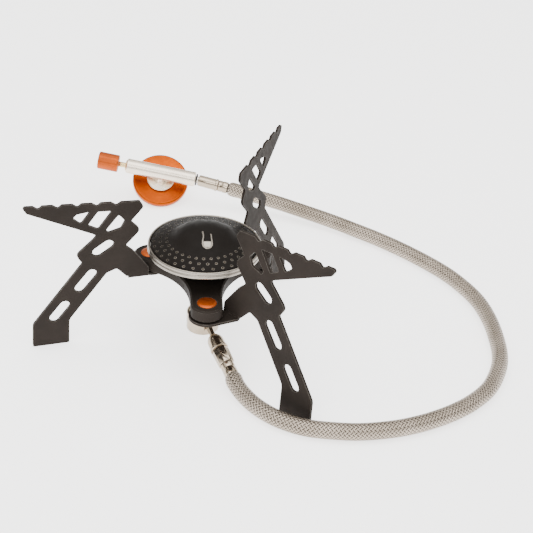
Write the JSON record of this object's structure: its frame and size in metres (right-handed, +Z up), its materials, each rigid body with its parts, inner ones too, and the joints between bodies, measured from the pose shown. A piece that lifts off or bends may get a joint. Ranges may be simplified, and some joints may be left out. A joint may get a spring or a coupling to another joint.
{
  "type": "remote canister stove",
  "caption": "Low gas burner on folding blade legs with toothed pot supports, fed by a braided steel hose from a screw-on canister valve.",
  "frame": {"origin": "on the ground below the middle of the stove's box, measured without the hose and its connector; the burner's axis stands at x = 17.388 mm, y = -4.111 mm", "axes": "+Z up along the burner's axis; -Y towards the arm over the hose fitting; the canister valve lies on the +Y side"},
  "size_m": [0.2699, 0.2758, 0.0949],
  "materials": {
    "black_paint": "satin heat-resistant black with fine orange peel",
    "cap_black": "satin black enamel",
    "stainless": "brushed stainless steel",
    "orange_anodised": "orange anodised",
    "orange_collar": "satin orange anodised",
    "nickel": "polished nickel plate with a warm tint",
    "satin_steel": "satin bead-blasted",
    "brass": "machined brass",
    "braid": "woven stainless wire",
    "rubber": "matt black"
  },
  "bodies": {
    "burner": {"hub": "black_paint", "burner_cup": "black_paint", "burner_cap": "cap_black", "burner_ring": "stainless", "flame_screen": "stainless", "mixing_tube": "stainless", "pivot_washer_front": "stainless", "pivot_washer_right": "stainless", "pivot_washer_left": "stainless", "pivot_nut_front": "stainless", "pivot_nut_right": "stainless", "pivot_nut_left": "stainless", "pivot_screw_front": "orange_anodised", "pivot_screw_right": "orange_anodised", "pivot_screw_left": "orange_anodised", "gas_block": "nickel", "feed_tube": "nickel", "feed_nipple": "nickel", "feed_union_nut": "nickel", "feed_crimp": "nickel", "valve_coupling": "nickel", "valve_crimp": "nickel", "valve_body": "satin_steel", "gas_jet": "brass", "gland_nut": "brass", "depressor_pin": "brass", "hose": "braid", "canister_seal": "rubber", "neck_seal": "rubber"},
    "front_leg": {"leg_front": "black_paint"},
    "right_leg": {"leg_right": "black_paint"},
    "left_leg": {"leg_left": "black_paint"},
    "knob": {"valve_knob": "orange_anodised", "spindle": "brass"},
    "canister_collar": {"collar": "orange_collar", "thread_insert": "nickel"}
  },
  "joints": [
    {"name": "leg_front_fold", "type": "hinge", "parent": "burner", "child": "front_leg", "pos_m": [0.01739, -0.03811, 0.045], "axis": [0, 0, 1], "range_deg": [-150, 0], "deforming": ["hose"]},
    {"name": "leg_right_fold", "type": "hinge", "parent": "burner", "child": "right_leg", "pos_m": [0.04683, 0.01289, 0.045], "axis": [0, 0, 1], "range_deg": [-138.5, 11.4]},
    {"name": "leg_left_fold", "type": "hinge", "parent": "burner", "child": "left_leg", "pos_m": [-0.01206, 0.01289, 0.045], "axis": [0, 0, 1], "range_deg": [-147.5, 2.4]},
    {"name": "valve_knob_turn", "type": "hinge", "parent": "burner", "child": "knob", "pos_m": [-0.00396, 0.15537, 0.0232], "axis": [-0.9787, 0.1463, 0.1444], "range_deg": [0, 900]},
    {"name": "collar_turn", "type": "hinge", "parent": "burner", "child": "canister_collar", "pos_m": [-0.00396, 0.15537, 0.0232], "axis": [0.029, -0.5972, 0.8016], "continuous": true}
  ]
}
